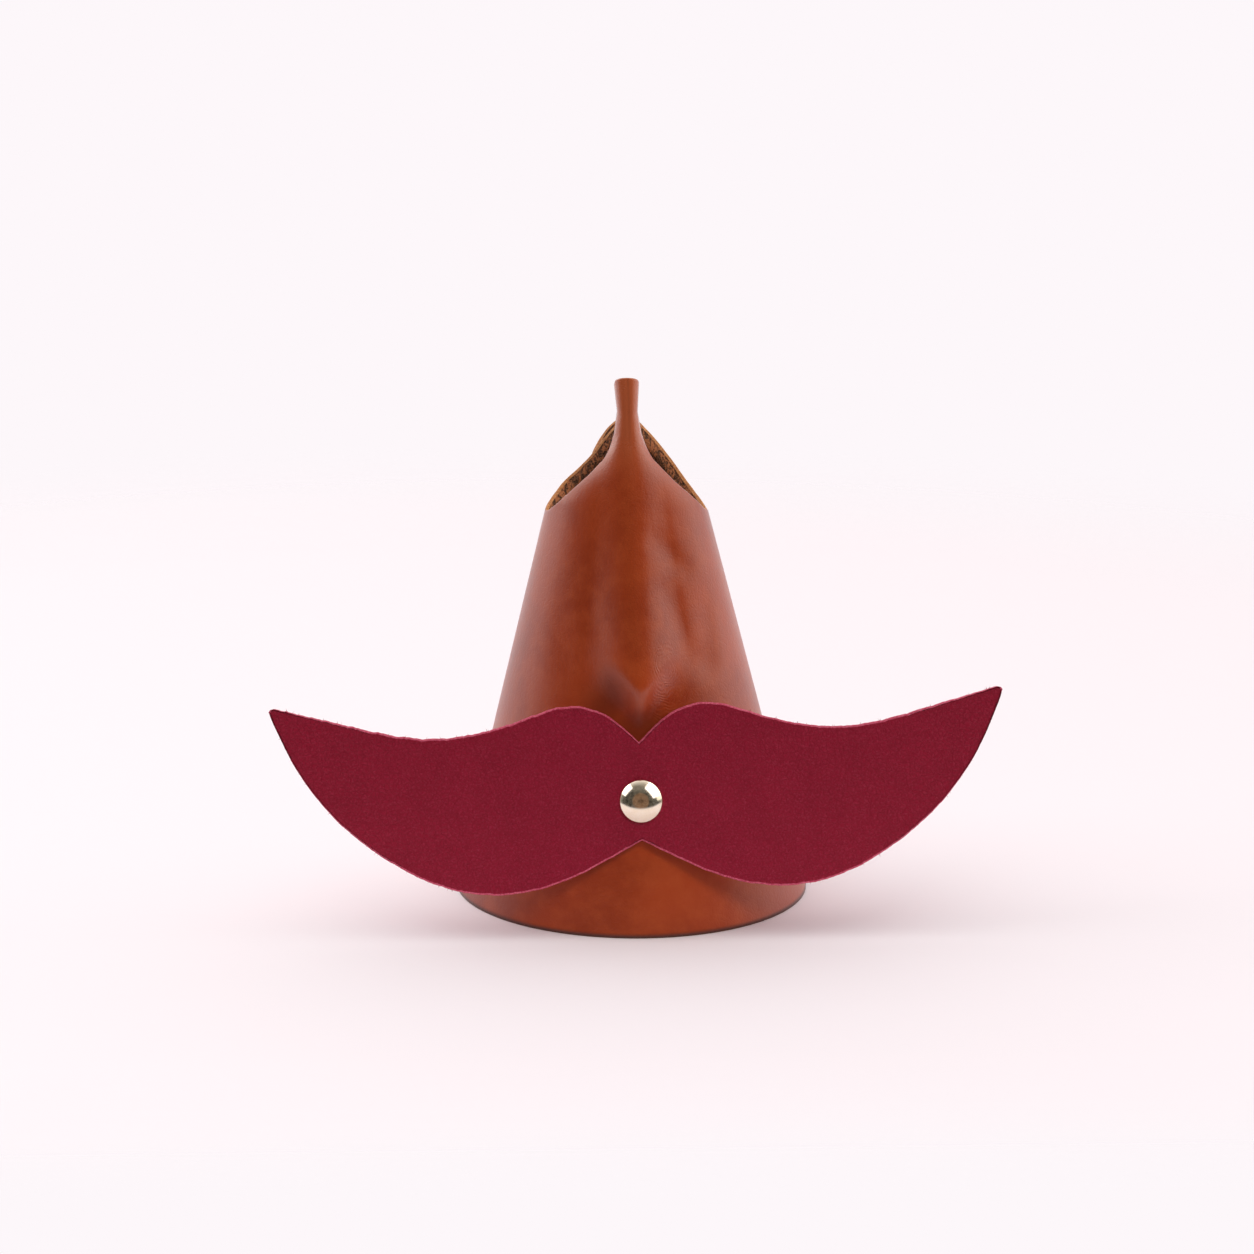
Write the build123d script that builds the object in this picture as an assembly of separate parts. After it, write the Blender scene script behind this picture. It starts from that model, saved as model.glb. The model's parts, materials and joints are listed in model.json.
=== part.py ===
from build123d import *
import os
from math import asin, atan, cos, pi, sin

# Eyeglasses stand: one sheet of leather wrapped into a cone, its ends lapped and riveted at the
# rear, its front wet-moulded into a nose that runs up into a narrow rolled stem.  A flat leather
# moustache turns on a double-cap rivet under the nose.  Origin at the centre of the base circle,
# +Z up, the nose faces -Y.  Millimetres.

# Cone, measured on its outer face
BASE_RADIUS = 33.9
NOTCH_RADIUS = 15.3
NOTCH_HEIGHT = 73.7
LEATHER = 2.0

# The wrap is slightly skew: level by level it leans this far to -X per mm of height
SIDEWAYS_LEAN = 0.0215

# Lapped ends at the rear: the end that comes round from -X lies inside
LAP_HALF_WIDTH = 6.0
LAP_GAP = 0.15
LAP_RAMP_START = 15.0
LAP_RAMP_END = 7.0
LAP_CORNER_WIDTH = 3.4
LAP_CORNER_SLOPE = 2.6

# Top edge: both panels rise from the temple notches at this slope, the rear one to a round peak
EDGE_SLOPE = 1.176
BACK_PEAK_ROUND = 5.0
BACK_PEAK_ASIDE = 1.2

# Rolled stem, a channel open to the rear
STEM_LEATHER = 1.4
STEM_DEPTH = 4.2
STEM_RISE = 10.9
STEM_ROOT_HALF_WIDTH = 2.65
STEM_WAIST_HALF_WIDTH = 1.85
STEM_TOP_HALF_WIDTH = 2.3
STEM_WAIST_SHARE = 0.45
STEM_LEAN = 0.27
STEM_BURIED = 6.0
STEM_FLARE = 0.6

# Nose
NOSE_FORWARD = 6.6
NOSE_HALF_WIDTH = 13.5
NOSE_BROW_HALF_WIDTH = 5.0
NOSE_TIP_RISE = 10.0
NOSE_FOOT_RISE = 1.0
NOSE_INNER_SHARE = 0.75
NOSE_FOOT_POWER = 1.8
NOSE_WIDTH_POWER = 1.5
NOSE_RIDGE_POWER = 1.3

# Moustache: right half of the outline in its own plane, from the pivot
PIVOT_HEIGHT = 24.55
MOUSTACHE_LEATHER = 2.0
MOUSTACHE_STANDOFF = 0.25
MOUSTACHE_TILT = 1.6
V_APEX = 10.75
V_FOOT = -7.2
TOP_EDGE = [(6.2, 16.1), (12.5, 17.75), (20.8, 15.7), (38.2, 12.6), (55.8, 16.2), (67.0, 19.2)]
BOTTOM_EDGE = [(67.3, 18.0), (63.0, 8.6), (54.3, -3.0), (45.3, -10.1), (36.6, -14.5),
               (27.0, -16.3), (14.0, -14.0)]
APEX_DIRECTION = (1, 1)
TIP_TOP_DIRECTION = (1, 0.3)
TIP_BOTTOM_DIRECTION = (-0.4, -0.9)
FOOT_DIRECTION = (-1, 0.5)

# Double-cap rivets: a cap with a tube, and a cap with a post pressed into it
CAP_RADIUS = 4.0
CAP_RISE = 2.2
CAP_RIM = 0.5
TUBE_RADIUS = 1.5
TUBE_WALL = 0.45
POST_CLEARANCE = 0.03
HOLE_CLEARANCE = 0.05
CAP_CLEARANCE = 0.05
SEAT_CLEARANCE = 0.05
SEAT_DEPTH = 0.3
SEAM_RIVET_HEIGHTS = (12.0, 40.0, 68.0)

TAPER = (BASE_RADIUS - NOTCH_RADIUS) / NOTCH_HEIGHT
TILT = atan(TAPER)
WALL_ACROSS = LEATHER / cos(TILT)
LAP_INSET = WALL_ACROSS + LAP_GAP
ROOF_HEIGHT = NOTCH_HEIGHT + EDGE_SLOPE * NOTCH_RADIUS
STEM_ROOT_HEIGHT = ROOF_HEIGHT - EDGE_SLOPE * STEM_ROOT_HALF_WIDTH
NOSE_FOOT_HEIGHT = PIVOT_HEIGHT + V_APEX * cos(TILT) + NOSE_FOOT_RISE
NOSE_TIP_HEIGHT = NOSE_FOOT_HEIGHT + NOSE_TIP_RISE
HOLE_RADIUS = TUBE_RADIUS + HOLE_CLEARANCE
REACH = 3 * BASE_RADIUS
OVERCUT = 1.0
SECTIONS = 36
NOSE_POINTS = 12
SIDE_POINTS = 6
NOSE_EVENNESS = 0.4
NOSE_REACH_LIMIT = 0.85
NOSE_MARGIN = 1.2
RAMP_MARGIN = 2.0
ROOF_REACH = 8.0


def cone_radius(z):
    """Outer radius of the plain cone at height z."""
    return BASE_RADIUS - TAPER * z


def lean(z):
    """Sideways place of the cone's centre line at height z."""
    return -SIDEWAYS_LEAN * z


def nose_aside(z):
    """Sideways place of the nose ridge from the centre line: over the pivot at its foot."""
    share = (z - NOSE_FOOT_HEIGHT) / (STEM_ROOT_HEIGHT - NOSE_FOOT_HEIGHT)
    return -lean(NOSE_FOOT_HEIGHT) * (1 - min(1.0, max(0.0, share)))


def nose_shape(z):
    """Forward bulge of the nose ridge, and the half width of the bulge, at height z."""
    if z <= NOSE_FOOT_HEIGHT:
        return 0.0, NOSE_HALF_WIDTH
    if z < NOSE_TIP_HEIGHT:
        share = (z - NOSE_FOOT_HEIGHT) / NOSE_TIP_RISE
        forward = NOSE_FORWARD * sin(pi * share / 2) ** NOSE_FOOT_POWER
        return forward, NOSE_HALF_WIDTH * share ** NOSE_WIDTH_POWER
    share = min(1.0, (z - NOSE_TIP_HEIGHT) / (STEM_ROOT_HEIGHT - NOSE_TIP_HEIGHT))
    half_width = NOSE_HALF_WIDTH + (NOSE_BROW_HALF_WIDTH - NOSE_HALF_WIDTH) * share
    return NOSE_FORWARD * (1 - share) ** NOSE_RIDGE_POWER, half_width


def sheet_point(angle, z, depth, bulge_share):
    """Point of the sheet at an angle from the front, depth mm inside its outer face."""
    radius = cone_radius(z)
    past_start = LAP_RAMP_START - (pi + angle) * radius
    ramp = min(1.0, max(0.0, past_start / (LAP_RAMP_START - LAP_RAMP_END)))
    distance = radius - depth - LAP_INSET * ramp * ramp * (3 - 2 * ramp)
    forward, half_width = nose_shape(z)
    across = abs(distance * sin(angle) - nose_aside(z)) / half_width
    bulge = 0.0
    if abs(angle) < pi / 2 and across < 1:
        bulge = bulge_share * forward * (1 - across * across) ** 2
    return Vector(lean(z) + distance * sin(angle), -distance * cos(angle) - bulge, z)


def sheet_angles(z):
    """Angles of a section's points, closest together on the nose."""
    radius = cone_radius(z)
    nose_reach = asin(min(NOSE_REACH_LIMIT, (NOSE_HALF_WIDTH + NOSE_MARGIN) / radius))
    ramp_start = pi - (LAP_RAMP_START + RAMP_MARGIN) / radius
    ramp_end = pi - LAP_RAMP_END / radius
    crowded = [step / NOSE_POINTS for step in range(1, NOSE_POINTS + 1)]
    even = [step / SIDE_POINTS for step in range(1, SIDE_POINTS + 1)]
    half = [nose_reach * (NOSE_EVENNESS * share + (1 - NOSE_EVENNESS) * share ** 2) for share in crowded]
    half += [nose_reach + (ramp_start - nose_reach) * share for share in even]
    half += [ramp_start + (ramp_end - ramp_start) * share for share in even]
    half += [pi, pi + asin(LAP_HALF_WIDTH / radius)]
    return [-angle for angle in reversed(half)] + [0.0] + half


def sheet_section(z):
    """Closed outline of the sheet's cut at height z: outer face, end, inner face, end."""
    outer = [sheet_point(angle, z, 0.0, 1.0) for angle in sheet_angles(z)]
    inner = [sheet_point(angle, z, WALL_ACROSS, NOSE_INNER_SHARE) for angle in reversed(sheet_angles(z))]
    spacing = sheet_angles(NOSE_TIP_HEIGHT)
    shares = [(angle + spacing[-1]) / (2 * spacing[-1]) for angle in spacing]
    outside = Edge.make_spline(outer, parameters=shares)
    inside = Edge.make_spline(inner, parameters=shares)
    return Wire([outside, Edge.make_line(outer[-1], inner[0]), inside, Edge.make_line(inner[-1], outer[0])])


def wrapped_sheet():
    """The sheet before its top edge is cut, through evenly spaced sections."""
    top = ROOF_HEIGHT + OVERCUT
    return Solid.make_loft([sheet_section(top * step / SECTIONS) for step in range(SECTIONS + 1)])


def roof_outline(peak_aside, peak_round):
    """Closed face in X and Z above two edges that rise from the notches and meet at a peak."""
    peak = (lean(ROOF_HEIGHT) + peak_aside, ROOF_HEIGHT)
    eaves = [
        (peak[0] + ROOF_REACH * (lean(NOTCH_HEIGHT) + side * NOTCH_RADIUS - peak[0]),
         peak[1] + ROOF_REACH * (NOTCH_HEIGHT - peak[1]))
        for side in (-1, 1)
    ]
    roof = make_face(Polyline(eaves[0], peak, eaves[1], close=True))
    if peak_round:
        roof = fillet(roof.vertices().sort_by(Axis.Y)[-1], peak_round)
    return Pos(0, ROOF_HEIGHT) * Rectangle(2 * REACH, 2 * REACH) - roof


def lap_corner():
    """The rounded-off top corner of the inner end, which stops short of the outer layer."""
    top = ROOF_HEIGHT
    low = top - LAP_CORNER_SLOPE * 2 * LAP_CORNER_WIDTH
    near, far = lean(top) + LAP_CORNER_WIDTH / 2, lean(top) + LAP_HALF_WIDTH + OVERCUT
    corner = Polyline((near, top), (far, top), (far, low), close=True)
    block = extrude(Plane.XZ * make_face(corner), amount=-REACH)
    base = BASE_RADIUS - WALL_ACROSS - LAP_GAP / 2
    foot = Wire.make_circle(base)
    head = Wire.make_circle(base - TAPER * top, Plane((lean(top), 0, top)))
    return block & Solid.make_loft([foot, head], ruled=True)


def stem_section(height, half_width, depth):
    """Closed outline of the stem's channel at a height above its root."""
    z = STEM_ROOT_HEIGHT + height
    middle = lean(z)
    front = -cone_radius(STEM_ROOT_HEIGHT) + STEM_LEAN * height
    bend = front + half_width
    back = front + depth
    inner = half_width - STEM_LEATHER
    left, right = middle - half_width, middle + half_width
    outer_arc = Edge.make_three_point_arc((left, bend, z), (middle, front, z), (right, bend, z))
    inner_left, inner_right = middle - inner, middle + inner
    deepest = (middle, bend - inner, z)
    inner_arc = Edge.make_three_point_arc((inner_right, bend, z), deepest, (inner_left, bend, z))
    return Wire([
        Edge.make_line((left, back, z), (left, bend, z)),
        outer_arc,
        Edge.make_line((right, bend, z), (right, back, z)),
        Edge.make_line((right, back, z), (inner_right, back, z)),
        Edge.make_line((inner_right, back, z), (inner_right, bend, z)),
        inner_arc,
        Edge.make_line((inner_left, bend, z), (inner_left, back, z)),
        Edge.make_line((inner_left, back, z), (left, back, z)),
    ])


def rolled_stem():
    """The narrow stem, from inside the front panel to its flared top."""
    buried_half_width = STEM_ROOT_HALF_WIDTH + STEM_FLARE
    return Solid.make_loft([
        stem_section(-STEM_BURIED, buried_half_width, buried_half_width + STEM_FLARE),
        stem_section(0.0, STEM_ROOT_HALF_WIDTH, STEM_DEPTH),
        stem_section(STEM_RISE * STEM_WAIST_SHARE, STEM_WAIST_HALF_WIDTH, STEM_DEPTH),
        stem_section(STEM_RISE, STEM_TOP_HALF_WIDTH, STEM_DEPTH),
    ])


def face_plane(z, side, depth=0.0):
    """Plane that touches the cone at height z, front (-1) or rear (+1), moved depth mm inwards.
    The rear ones lie on the centre line, the front one on the moustache's pivot."""
    outward = Vector(0, side * cos(TILT), sin(TILT))
    aside = lean(z) if side > 0 else 0.0
    touch = Vector(aside, side * cone_radius(z), z)
    return Plane(touch - outward * depth, x_dir=(-side, 0, 0), z_dir=outward)


def disc(radius, height):
    """Cylinder standing on its plane."""
    return Cylinder(radius, height, align=(Align.CENTER, Align.CENTER, Align.MIN))


def rivet_cap():
    """Domed cap with its flat underside on its plane."""
    rim = (CAP_RADIUS, CAP_RIM)
    arc = RadiusArc(rim, (0, CAP_RISE), -dome_radius())
    profile = make_face(Polyline((0, CAP_RISE), (0, 0), (CAP_RADIUS, 0), rim) + arc)
    return revolve(Plane.XZ * profile, Axis.Z)


def dome_radius():
    """Radius of the sphere through the cap's rim and its crown."""
    rise = CAP_RISE - CAP_RIM
    return (CAP_RADIUS ** 2 + rise ** 2) / (2 * rise)


def tube_half(plane, grip):
    """Cap whose tube reaches the other cap."""
    bore = TUBE_RADIUS - TUBE_WALL
    tube = disc(TUBE_RADIUS, grip) - disc(bore, grip)
    return plane * (rivet_cap() + Pos(0, 0, -grip) * tube)


def post_half(plane, grip):
    """Cap whose post fills the other half's tube."""
    post = disc(TUBE_RADIUS - TUBE_WALL - POST_CLEARANCE, grip)
    return plane * (rivet_cap() + Pos(0, 0, -grip) * post)


def flipped(plane):
    """The same plane facing the other way."""
    return Plane(plane.origin, x_dir=plane.x_dir, z_dir=-plane.z_dir)


FRONT_GRIP = CAP_CLEARANCE + MOUSTACHE_LEATHER + MOUSTACHE_STANDOFF + LEATHER - SEAT_DEPTH
SEAM_GRIP = 2 * LEATHER + LAP_GAP * cos(TILT) - 2 * SEAT_DEPTH


def front_rivet_planes():
    """Planes under the front rivet's outer and inner caps."""
    outer = face_plane(PIVOT_HEIGHT, -1, -(CAP_CLEARANCE + MOUSTACHE_LEATHER + MOUSTACHE_STANDOFF))
    inner = flipped(face_plane(PIVOT_HEIGHT, -1, LEATHER - SEAT_DEPTH))
    return outer, inner


def seam_rivet_planes(z):
    """Planes under a rear rivet's outer and inner caps."""
    return face_plane(z, 1, SEAT_DEPTH), flipped(face_plane(z, 1, SEAT_DEPTH + SEAM_GRIP))


def nose_cone():
    """The sheet with its top edge, stem, rivet holes and the seats that the caps press into it."""
    sheet = wrapped_sheet() - extrude(Plane.XZ * roof_outline(0, 0), amount=REACH)
    sheet -= extrude(Plane.XZ * roof_outline(BACK_PEAK_ASIDE, BACK_PEAK_ROUND), amount=-REACH)
    sheet = sheet - lap_corner() + rolled_stem()
    seat = disc(CAP_RADIUS + SEAT_CLEARANCE, CAP_RISE)
    outer, inner = front_rivet_planes()
    sheet -= inner * seat
    sheet -= inner * Pos(0, 0, -FRONT_GRIP) * disc(HOLE_RADIUS, FRONT_GRIP)
    for z in SEAM_RIVET_HEIGHTS:
        outer, inner = seam_rivet_planes(z)
        sheet -= outer * seat
        sheet -= inner * seat
        sheet -= inner * Pos(0, 0, -SEAM_GRIP) * disc(HOLE_RADIUS, SEAM_GRIP)
    return sheet


def moustache():
    """Flat moustache with its pivot hole, tilted as it hangs."""
    top = Spline([(0, V_APEX)] + TOP_EDGE, tangents=[APEX_DIRECTION, TIP_TOP_DIRECTION])
    tip = Line(TOP_EDGE[-1], BOTTOM_EDGE[0])
    bottom = Spline(BOTTOM_EDGE + [(0, V_FOOT)], tangents=[TIP_BOTTOM_DIRECTION, FOOT_DIRECTION])
    half = make_face(top + tip + bottom + Line((0, V_FOOT), (0, V_APEX)))
    outline = half + mirror(half, Plane.YZ)
    sheet = extrude(Rot(0, 0, MOUSTACHE_TILT) * outline, amount=MOUSTACHE_LEATHER)
    hole = disc(HOLE_RADIUS, MOUSTACHE_LEATHER)
    return face_plane(PIVOT_HEIGHT, -1, -MOUSTACHE_STANDOFF) * (sheet - hole)


os.makedirs("parts", exist_ok=True)
front_outer, front_inner = front_rivet_planes()
nodes = {
    "nose_cone": nose_cone(),
    "moustache": moustache(),
    "moustache_rivet_cap": tube_half(front_outer, FRONT_GRIP),
    "moustache_rivet_post": post_half(front_inner, FRONT_GRIP),
}
for number, height in enumerate(SEAM_RIVET_HEIGHTS, 1):
    seam_outer, seam_inner = seam_rivet_planes(height)
    nodes[f"seam_rivet_cap_{number}"] = tube_half(seam_outer, SEAM_GRIP)
    nodes[f"seam_rivet_post_{number}"] = post_half(seam_inner, SEAM_GRIP)
for name, solid in nodes.items():
    export_step(solid, f"parts/{name}.step")
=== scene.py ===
# %% [markdown]
# # A leather nose that holds eyeglasses
# The object is a desk stand.  One piece of tan leather is wrapped into a cone, lapped and riveted
# at the rear, and pressed at the front into a nose whose bridge runs up into a thin rolled stem.
# A flat burgundy moustache hangs on a rivet under the nose and can swing a few degrees.
# The solid model is loaded first as a fixed frame.  All looks are then built around it in metres.

import json
from math import asin, cos, pi, radians, sin

import bpy
import numpy as np
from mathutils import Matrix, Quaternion, Vector

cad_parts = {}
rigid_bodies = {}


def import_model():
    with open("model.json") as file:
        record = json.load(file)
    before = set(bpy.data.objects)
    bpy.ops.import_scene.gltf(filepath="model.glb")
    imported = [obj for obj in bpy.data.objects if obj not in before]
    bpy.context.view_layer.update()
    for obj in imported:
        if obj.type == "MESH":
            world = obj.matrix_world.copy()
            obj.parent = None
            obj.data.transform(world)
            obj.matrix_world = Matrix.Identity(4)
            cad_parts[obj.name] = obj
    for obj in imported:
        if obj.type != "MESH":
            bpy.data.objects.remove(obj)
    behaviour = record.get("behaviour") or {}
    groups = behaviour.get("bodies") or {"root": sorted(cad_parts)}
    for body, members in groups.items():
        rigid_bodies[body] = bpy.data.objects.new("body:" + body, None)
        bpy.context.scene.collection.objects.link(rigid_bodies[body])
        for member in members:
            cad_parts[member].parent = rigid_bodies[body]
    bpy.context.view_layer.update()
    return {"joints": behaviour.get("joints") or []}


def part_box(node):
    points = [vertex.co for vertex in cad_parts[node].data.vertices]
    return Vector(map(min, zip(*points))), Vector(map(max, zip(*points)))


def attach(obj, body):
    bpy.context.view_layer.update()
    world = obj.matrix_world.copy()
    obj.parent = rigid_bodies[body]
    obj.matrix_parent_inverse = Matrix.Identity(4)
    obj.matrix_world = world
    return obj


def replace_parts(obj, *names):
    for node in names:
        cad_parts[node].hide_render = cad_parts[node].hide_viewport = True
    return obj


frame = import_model()

# %% [markdown]
# ## Measures
# The maker thinks in millimetres, so every measure below is in millimetres and a mesh is scaled
# to metres once, when it is handed to Blender.  What the frame can tell is read from the frame:
# the base from the cone's box, and the pivot of the moustache from its joint.

# %% Measures of the stand
MM = 0.001
BASE_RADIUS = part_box("nose_cone")[1].x / MM
STAND_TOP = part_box("nose_cone")[1].z / MM
pivot = np.array(frame["joints"][0]["pos_m"]) / MM
PIVOT_HEIGHT = pivot[2]
PIVOT_OUTWARD = np.array(frame["joints"][0]["axis"])
TILT = asin(PIVOT_OUTWARD[2])
TAPER = PIVOT_OUTWARD[2] / cos(TILT)
LEATHER = 2.0
NOTCH_RADIUS = 15.3
NOTCH_HEIGHT = (BASE_RADIUS - NOTCH_RADIUS) / TAPER
V_APEX, V_FOOT = 10.75, -7.2          # middle of the moustache, above and below its pivot
EDGE_SLOPE = 1.176
SIDEWAYS_LEAN = 0.0215
PEAK_ASIDE = 1.2
ROOF = NOTCH_HEIGHT + EDGE_SLOPE * NOTCH_RADIUS
print(f"base {2 * BASE_RADIUS:.1f} across, cone leans in {TAPER:.4f}")
print(f"front panel peaks at {ROOF:.1f}")

# %% [markdown]
# ## Small formulas
# Several pieces share a few curves: a smooth step, a broken line, a seeded wobble for edges cut
# by hand, and the plain cone with its slight sideways lean.

# %% Small formulas that several pieces share
def smooth(low, high, value):
    """0 below low, 1 above high, and between them 3t^2 - 2t^3 of the share t."""
    share = np.clip((np.asarray(value, float) - low) / (high - low), 0, 1)
    return share * share * (3 - 2 * share)


def between(pairs, value):
    """Straight lines through (place, amount) pairs."""
    places, amounts = zip(*pairs)
    return np.interp(value, places, amounts)


def wobble(place, seed, waves, shortest, longest):
    """Sum of sine waves of seeded lengths and phases along a line, about 1 at its largest."""
    dice = np.random.default_rng(seed)
    lengths = np.geomspace(shortest, longest, waves) * dice.uniform(0.85, 1.15, waves)
    phases = dice.uniform(0, 2 * pi, waves)
    heights = (lengths / longest) ** 0.5
    swing = np.sin(2 * pi * np.asarray(place)[..., None] / lengths + phases) * heights
    return swing.sum(-1) / heights.sum() * 1.8


def cone_radius(height):
    """Outer radius of the plain cone."""
    return BASE_RADIUS - TAPER * height


def lean(height):
    """Sideways place of the cone's centre line, which leans a little to the left."""
    return -SIDEWAYS_LEAN * height


print(f"at the notches: radius {cone_radius(NOTCH_HEIGHT):.1f}, leans {lean(NOTCH_HEIGHT):.1f}")


# %% [markdown]
# ## Leather as a cut pattern
# Every leather piece starts as a flat pattern, as it does on the cutting table: a grid of points,
# holes punched in it, and edge loops.  A formula then carries the pattern's points to their places
# on the grain side, and a second surface under it is the flesh side.  A rounded strip along each
# loop closes the cut edge.  Solidify and Bevel would give a wall too, but then the cut edge could
# not have its own finish and the round seats pressed in by the rivet caps would be lost.

# %% A pattern with punched holes
def quads_of(index):
    """Anticlockwise quads between the places of an index grid."""
    return np.stack([index[:-1, :-1], index[:-1, 1:], index[1:, 1:], index[1:, :-1]], -1)


class Pattern:
    """Flat points (across, up), quads, and edge loops that keep the leather on their left."""

    def __init__(self, across, up):
        self.flat = np.stack([across.ravel(), up.ravel()], 1)
        self.index = np.arange(across.size).reshape(across.shape)
        self.kept = np.ones((across.shape[0] - 1, across.shape[1] - 1), bool)
        self.extra, self.holes = [], []
        self.tongue, self.tongue_columns = None, (0, 0)

    def append(self, points):
        """Adds points and returns their numbers."""
        start = len(self.flat)
        self.flat = np.concatenate([self.flat, points.reshape(-1, 2)])
        return np.arange(start, len(self.flat)).reshape(points.shape[:-1])

    def punch(self, centre, radius, reach, scale=(1.0, 1.0), rings=3):
        """Replaces the cells around a hole by rings that go from the block's edge to a circle.
        The scale gives the millimetres that one unit across and one unit up stand for."""
        scale = np.array(scale)
        places = (self.flat[self.index] - centre) * scale
        row, column = np.unravel_index((places ** 2).sum(-1).argmin(), self.index.shape)
        step_across = abs(places[row, column, 0] - places[row, column - 1, 0])
        step_up = abs(places[row, column, 1] - places[row - 1, column, 1])
        up, across = int(np.ceil(reach / step_up)), int(np.ceil(reach / step_across))
        i0, i1, j0, j1 = row - up, row + up, column - across, column + across
        self.kept[i0:i1, j0:j1] = False
        j, i = np.arange(j0, j1), np.arange(i0, i1)
        rows = np.concatenate([0 * j + i0, i, 0 * j + i1, i0 + i1 - i])
        columns = np.concatenate([j, 0 * i + j1, j0 + j1 - j, 0 * i + j0])
        edge = self.flat[self.index[rows, columns]]
        off = (edge - centre) * scale
        circle = centre + radius * off / np.linalg.norm(off, axis=1, keepdims=True) / scale
        share = (np.arange(1, rings + 1) / rings)[:, None, None]
        inner = self.append(edge + (circle - edge) * share)
        rings_index = np.concatenate([self.index[rows, columns][None], inner])
        closed = np.concatenate([rings_index, rings_index[:, :1]], 1)
        self.extra.append(quads_of(closed).reshape(-1, 4))
        self.holes.append(inner[-1][::-1])

    def grow(self, first, last, across, up):
        """Adds a tongue above the top row, between two columns."""
        new = self.append(np.stack([across, up], -1))
        self.tongue = np.concatenate([self.index[-1:, first:last + 1], new])
        self.tongue_columns = (first, last)
        self.extra.append(quads_of(self.tongue).reshape(-1, 4))

    def quads(self):
        return np.concatenate([quads_of(self.index)[self.kept], *self.extra])

    def loops(self):
        grid, (first, last) = self.index, self.tongue_columns
        top = grid[-1, ::-1]
        if self.tongue is not None:
            side = self.tongue
            over = [side[:, -1], side[-1, -2::-1], side[-2::-1, 0]]
            top = np.concatenate([grid[-1, :last:-1], *over, grid[-1, :first][::-1]])
        outer = np.concatenate([grid[0], grid[1:-1, -1], top, grid[-2:0:-1, 0]])
        return [outer, *self.holes]


# %% [markdown]
# ## From a pattern to a closed wall
# A real cut edge is a third surface between grain and flesh, slightly rounded where the knife
# left it.  The strip along each loop is therefore its own rows of faces with its own finish, and
# shares its first and last points with the two sides, so that the wall is watertight.

# %% From a pattern to a closed leather wall
def corner_normals(points, quads):
    """Mean of the quads' normals at each point."""
    a, b, c, d = (points[quads[:, k]] for k in range(4))
    flat = np.cross(c - a, d - b)
    total = np.zeros_like(points)
    for k in range(4):
        np.add.at(total, quads[:, k], flat)
    return total / np.maximum(np.linalg.norm(total, axis=1, keepdims=True), 1e-12)


def put_mesh(name, points, faces, finishes, finish_of_face=None, smooth_shading=True):
    """Makes the object, from millimetres, at the origin of the frame."""
    mesh = bpy.data.meshes.new(name)
    mesh.from_pydata(points * MM, [], faces.tolist() if hasattr(faces, "tolist") else faces)
    for finish in finishes:
        mesh.materials.append(finish.material)
    if finish_of_face is not None:
        mesh.polygons.foreach_set("material_index", finish_of_face.astype(np.int32))
    mesh.polygons.foreach_set("use_smooth", np.full(len(mesh.polygons), smooth_shading))
    mesh.update()
    piece = bpy.data.objects.new(name, mesh)
    bpy.context.scene.collection.objects.link(piece)
    triangles = sum(len(p.vertices) - 2 for p in mesh.polygons)
    print(f"{name}: {len(points)} points, {triangles} triangles")
    return piece


def leather_wall(name, pattern, grain, flesh, rounding, finishes, rim=0):
    """Grain side and flesh side joined along every loop.  The strip's points turn a quarter circle
    of the rounding's radius from the grain side to the cut edge, and again to the flesh side.  Rim
    is the number of the finish on the strip's first row, next to the grain side."""
    quads, count = pattern.quads(), len(pattern.flat)
    out_grain, out_flesh = corner_normals(grain, quads), -corner_normals(flesh, quads)
    sides = [grain.copy(), flesh.copy()]
    faces, kinds = [quads, quads[:, ::-1] + count], [0 * quads[:, 0], 0 * quads[:, 0] + 1]
    strips, start = [], 2 * count
    turns = np.array([radians(45), radians(90)])[:, None, None]
    for loop in pattern.loops():
        along = np.roll(grain[loop], -1, 0) - np.roll(grain[loop], 1, 0)
        outward = np.cross(along, out_grain[loop])
        outward /= np.linalg.norm(outward, axis=1, keepdims=True)
        rows = []
        for side, normal in ((0, out_grain[loop]), (1, out_flesh[loop])):
            edge = (grain, flesh)[side][loop]
            sides[side][loop] = edge - rounding * outward
            bend = outward * (np.sin(turns) - 1) - normal * (1 - np.cos(turns))
            rows.append(edge + rounding * bend)
        middle = (rows[0][-1] + rows[1][-1]) / 2
        strip = np.concatenate([rows[0], middle[None], rows[1][::-1]])
        numbers = start + np.arange(strip.shape[0] * strip.shape[1]).reshape(strip.shape[:2])
        start += numbers.size
        numbers = np.concatenate([loop[None], numbers, loop[None] + count])
        numbers = np.concatenate([numbers, numbers[:, :1]], 1)
        faces.append(quads_of(numbers)[..., ::-1].reshape(-1, 4))
        belongs = np.repeat([rim, 2, 2, 2, 2, 1], len(loop))
        kinds.append(belongs)
        strips.append(strip.reshape(-1, 3))
    points = np.concatenate(sides + strips)
    piece = put_mesh(name, points, np.concatenate(faces), finishes, np.concatenate(kinds))
    return piece


# %% [markdown]
# ## Finishes
# A finish is worked out from the place on the piece, so it needs no picture.  Formulas on shader
# values are easier to read as Python expressions than as boxes with wires, so a small class wraps
# a socket and turns + - * / into Math nodes.  Colours are mixed, never put through a Math node.

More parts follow.
